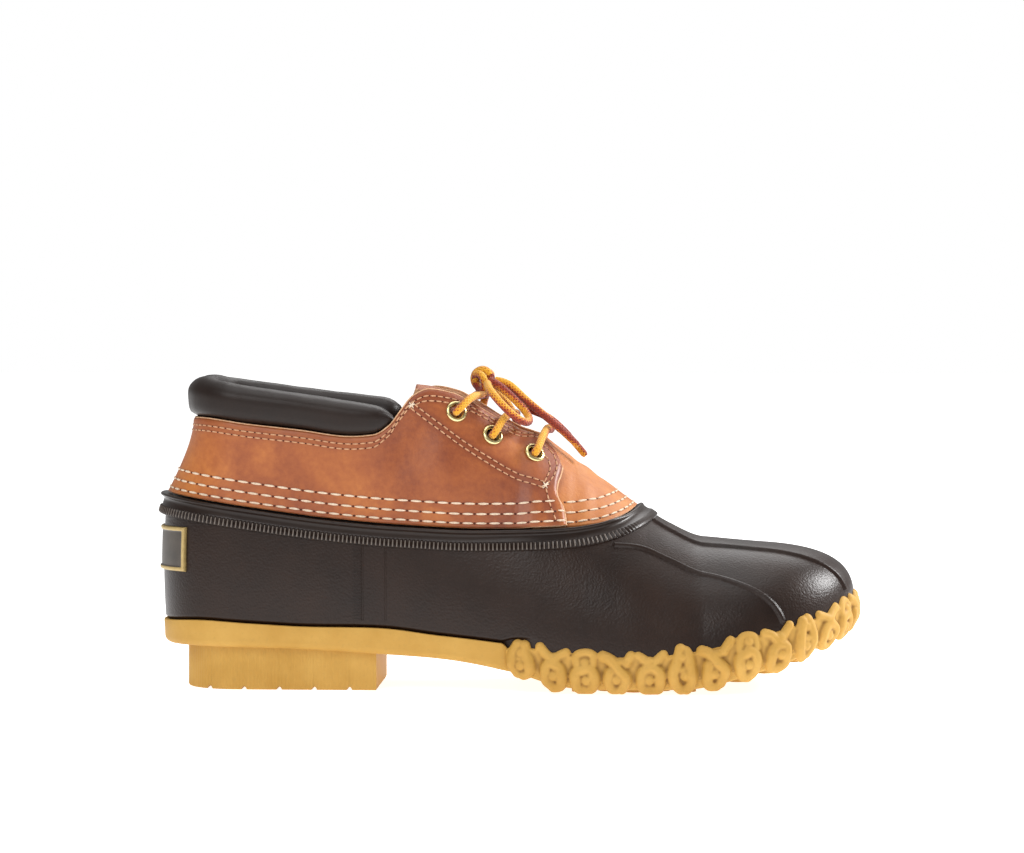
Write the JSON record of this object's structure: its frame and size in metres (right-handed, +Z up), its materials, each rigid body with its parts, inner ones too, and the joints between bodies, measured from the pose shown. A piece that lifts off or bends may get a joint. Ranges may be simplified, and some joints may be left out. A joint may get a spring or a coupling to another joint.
{
  "type": "duck boot",
  "caption": "Low duck boot for the right foot: moulded rubber bottom on a chain-tread gum sole, leather upper, padded collar and a tied lace.",
  "frame": {"origin": "on the floor, on the heel's ground face, midway between its third and fourth grooves", "axes": "+X to the toe, +Y to the medial (inner) side, +Z up"},
  "size_m": [0.303, 0.1113, 0.1366],
  "materials": {
    "gum_rubber": "matte",
    "brown_rubber": "satin, leather grain",
    "tan_leather": "waxed full grain",
    "tongue_leather": "matte",
    "collar_leather": "smooth satin",
    "insole_felt": "matte",
    "brass": "polished",
    "lace_cord": "braided",
    "badge_plate": "raised border round a bare dark field"
  },
  "bodies": {
    "root": {"outsole": "gum_rubber", "insole": "insole_felt", "rubber_shell": "brown_rubber", "vamp": "tan_leather", "quarters": "tan_leather", "tongue": "tongue_leather", "collar": "collar_leather", "eyelet_lateral_1": "brass", "eyelet_lateral_2": "brass", "eyelet_lateral_3": "brass", "eyelet_medial_1": "brass", "eyelet_medial_2": "brass", "eyelet_medial_3": "brass", "lace_bar_1": "lace_cord", "lace_bar_2": "lace_cord", "lace_bar_3": "lace_cord", "lace_knot": "lace_cord", "lace_end_upper": "lace_cord", "lace_end_lower": "lace_cord", "lace_loop_near": "lace_cord", "lace_loop_far": "lace_cord", "heel_badge": "badge_plate"}
  },
  "joints": []
}
